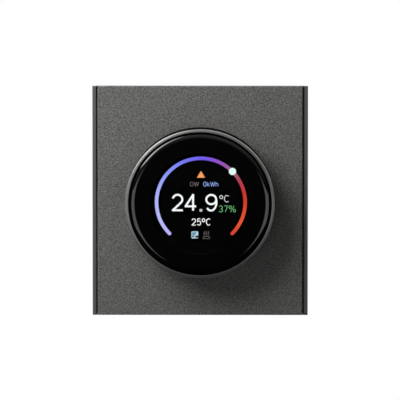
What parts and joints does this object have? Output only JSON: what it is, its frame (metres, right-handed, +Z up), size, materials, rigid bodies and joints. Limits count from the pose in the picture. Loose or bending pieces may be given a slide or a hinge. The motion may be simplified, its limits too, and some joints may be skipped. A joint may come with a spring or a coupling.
{
  "type": "wall thermostat",
  "caption": "Flush-mounted wall thermostat: metal-fronted plate with a turning, pressable ring knob round a fixed round display, and a rear wiring housing.",
  "frame": {"origin": "centre of the wall screw pattern, on the mounting plate's back face, which is the wall plane", "axes": "+X to the right seen from the front, +Z up, +Y into the wall, so the display faces -Y"},
  "size_m": [0.086, 0.0495, 0.092],
  "materials": {
    "anthracite_metal": "fine sparkling metallic anthracite coat",
    "frame_plastic": "fine-grained moulded dark grey",
    "knob_metal": "gunmetal anodised, turned",
    "cover_glass": "polished, edge curved down",
    "black_adhesive": "matt black",
    "display_glass": "black when dark",
    "backlight_tray": "thin pressed tray",
    "flex_circuit": "amber film",
    "foam": "closed-cell foam",
    "circuit_board": "green solder mask",
    "chip_black": "moulded resin",
    "connector_white": "natural moulded",
    "slippery_plastic": "natural, smooth",
    "gear_plastic": "natural moulded gear plastic",
    "steel": "zinc plated",
    "tinned_steel": "tinned",
    "plate_steel": "galvanised sheet",
    "spring_steel": "drawn",
    "brass": "plain",
    "housing_plastic": "flame-retardant, fine grain",
    "insulating_sheet": "smooth sheet",
    "adhesive_tape": "thin double-sided tape",
    "relay_case": "moulded case",
    "ferrite": "ground ferrite",
    "winding_tape": "polyester tape over copper",
    "capacitor_sleeve": "shrink sleeve over an aluminium can",
    "film_capacitor_case": "moulded box",
    "fuse_glass": "clear tube with end caps",
    "varistor_coat": "dipped epoxy",
    "terminal_plastic": "moulded"
  },
  "bodies": {
    "wall_base": {"mounting_plate": "plate_steel", "snap_bushes": "slippery_plastic", "rear_housing": "housing_plastic", "housing_lid": "insulating_sheet", "flange_screws": "steel", "power_board": "circuit_board", "power_board_screws": "steel", "relay": "relay_case", "transformer_core": "ferrite", "transformer_winding": "winding_tape", "input_capacitor": "capacitor_sleeve", "output_capacitor": "capacitor_sleeve", "film_capacitor": "film_capacitor_case", "fuse_link": "fuse_glass", "varistor": "varistor_coat", "header_socket": "chip_black", "terminal_block": "terminal_plastic", "terminal_cages": "brass", "terminal_screws": "steel"},
    "front_unit": {"face_frame": "frame_plastic", "front_panel": "anthracite_metal", "panel_tape": "adhesive_tape", "control_board": "circuit_board", "control_board_screws": "steel", "wifi_module": "circuit_board", "wifi_shield": "tinned_steel", "processor": "chip_black", "buzzer": "chip_black", "backup_cell": "steel", "backup_cell_holder": "chip_black", "air_sensor": "chip_black", "encoder_body": "chip_black", "press_switch": "chip_black", "ribbon_socket": "connector_white", "header_base": "chip_black", "header_pins": "brass", "return_springs": "spring_steel", "display_ribbon": "flex_circuit"},
    "display_head": {"head_carrier": "frame_plastic", "cover_lens": "cover_glass", "lens_adhesive": "black_adhesive", "lcd_panel": "display_glass", "backlight_unit": "backlight_tray", "lcd_flex_tail": "flex_circuit", "display_foam": "foam", "display_board": "circuit_board", "display_board_screws": "steel", "display_chips": "chip_black", "stem_clip": "spring_steel", "glide_washer": "slippery_plastic"},
    "turning_ring": {"knob_ring": "knob_metal", "encoder_ring_gear": "gear_plastic", "rotor_screws": "steel"},
    "encoder_rotor": {"encoder_pinion": "gear_plastic", "encoder_shaft": "steel"},
    "switch_plunger": {"press_switch_plunger": "slippery_plastic"}
  },
  "joints": [
    {"name": "face_release", "type": "slide", "parent": "wall_base", "child": "front_unit", "axis": [0, -1, 0], "range_m": [0, 0.026]},
    {"name": "knob_press", "type": "slide", "parent": "front_unit", "child": "display_head", "axis": [0, 1, 0], "range_m": [0, 0.0005], "stiffness_N_per_m": 4000, "springref_m": -0.0006, "deforming": ["return_springs", "display_ribbon"]},
    {"name": "ring_turn", "type": "hinge", "parent": "display_head", "child": "turning_ring", "pos_m": [0, -0.017, 0], "axis": [0, 1, 0], "continuous": true},
    {"name": "encoder_turn", "type": "hinge", "parent": "front_unit", "child": "encoder_rotor", "pos_m": [0.018, -0.0107, 0], "axis": [0, 1, 0], "continuous": true},
    {"name": "switch_press", "type": "slide", "parent": "front_unit", "child": "switch_plunger", "axis": [0, 1, 0], "range_m": [0, 0.0005]}
  ],
  "couplings": [
    {"joint": "encoder_turn", "follows": "ring_turn", "ratio": 7},
    {"joint": "switch_press", "follows": "knob_press", "ratio": 1}
  ]
}
